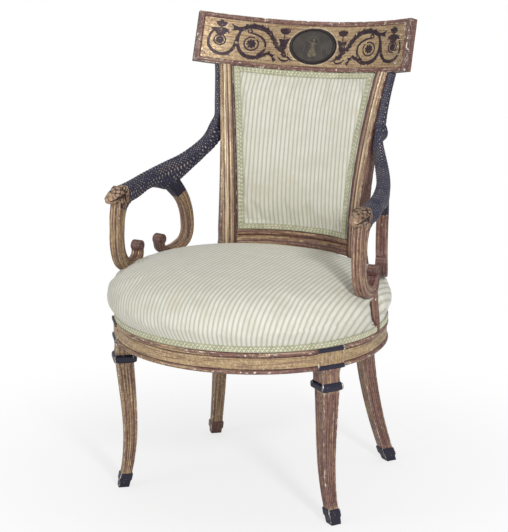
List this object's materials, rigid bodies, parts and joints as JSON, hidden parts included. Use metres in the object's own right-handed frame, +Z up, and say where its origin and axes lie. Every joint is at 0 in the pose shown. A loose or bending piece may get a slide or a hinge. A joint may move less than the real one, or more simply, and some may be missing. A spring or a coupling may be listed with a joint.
{
  "type": "upholstered armchair",
  "caption": "Klismos armchair with a round stuffed seat, sabre legs, a curved crest rail, a stuffed back and carved serpent arms on open scrolls.",
  "frame": {"origin": "on the floor, under the middle of the chair's bounding box", "axes": "+Z up; -Y towards the front of the seat; +X towards the right side seen from the front"},
  "size_m": [0.56, 0.6068, 0.9283],
  "materials": {
    "gilt_wood": "worn gilding over red brown bole, with white gesso showing on edges",
    "dark_gilt_wood": "worn darker gilding over red brown bole",
    "serpent_paint": "blue black painted carved scales with tan wear, gilt brown head",
    "medallion_relief": "dark olive grey painted low relief with a black rim",
    "raw_wood": "unfinished sawn wood",
    "steel": "dull screw steel",
    "jute_webbing": "coarse woven jute",
    "linen_cloth": "plain woven linen",
    "hair_stuffing": "matted hair",
    "striped_cloth": "cream cloth with thin grey green stripes",
    "braided_gimp": "green and cream braid"
  },
  "bodies": {
    "root": {"front_rail": "gilt_wood", "side_rail_left": "gilt_wood", "side_rail_right": "gilt_wood", "rear_rail": "gilt_wood", "front_leg_left": "gilt_wood", "front_leg_right": "gilt_wood", "rear_upright_left": "gilt_wood", "rear_upright_right": "gilt_wood", "back_rail": "gilt_wood", "crest_rail": "gilt_wood", "crest_medallion": "medallion_relief", "serpent_arm_left": "serpent_paint", "serpent_arm_right": "serpent_paint", "front_scroll_left": "dark_gilt_wood", "front_scroll_right": "dark_gilt_wood", "rear_scroll_left": "dark_gilt_wood", "rear_scroll_right": "dark_gilt_wood", "front_corner_block_left": "raw_wood", "front_corner_block_right": "raw_wood", "rear_corner_block_left": "raw_wood", "rear_corner_block_right": "raw_wood", "front_block_screw_1_left": "steel", "front_block_screw_1_right": "steel", "front_block_screw_2_left": "steel", "front_block_screw_2_right": "steel", "rear_block_screw_1_left": "steel", "rear_block_screw_1_right": "steel", "rear_block_screw_2_left": "steel", "rear_block_screw_2_right": "steel", "arm_screw_left": "steel", "arm_screw_right": "steel", "seat_webbing": "jute_webbing", "back_webbing": "jute_webbing", "seat_base_cloth": "linen_cloth", "seat_bottom_cloth": "linen_cloth", "back_base_cloth": "linen_cloth", "seat_stuffing": "hair_stuffing", "back_stuffing": "hair_stuffing", "seat_cover": "striped_cloth", "back_cover": "striped_cloth", "outside_back_cover": "striped_cloth", "seat_gimp_front": "braided_gimp", "seat_gimp_side_left": "braided_gimp", "seat_gimp_side_right": "braided_gimp", "seat_gimp_rear": "braided_gimp", "back_gimp": "braided_gimp"}
  },
  "joints": []
}
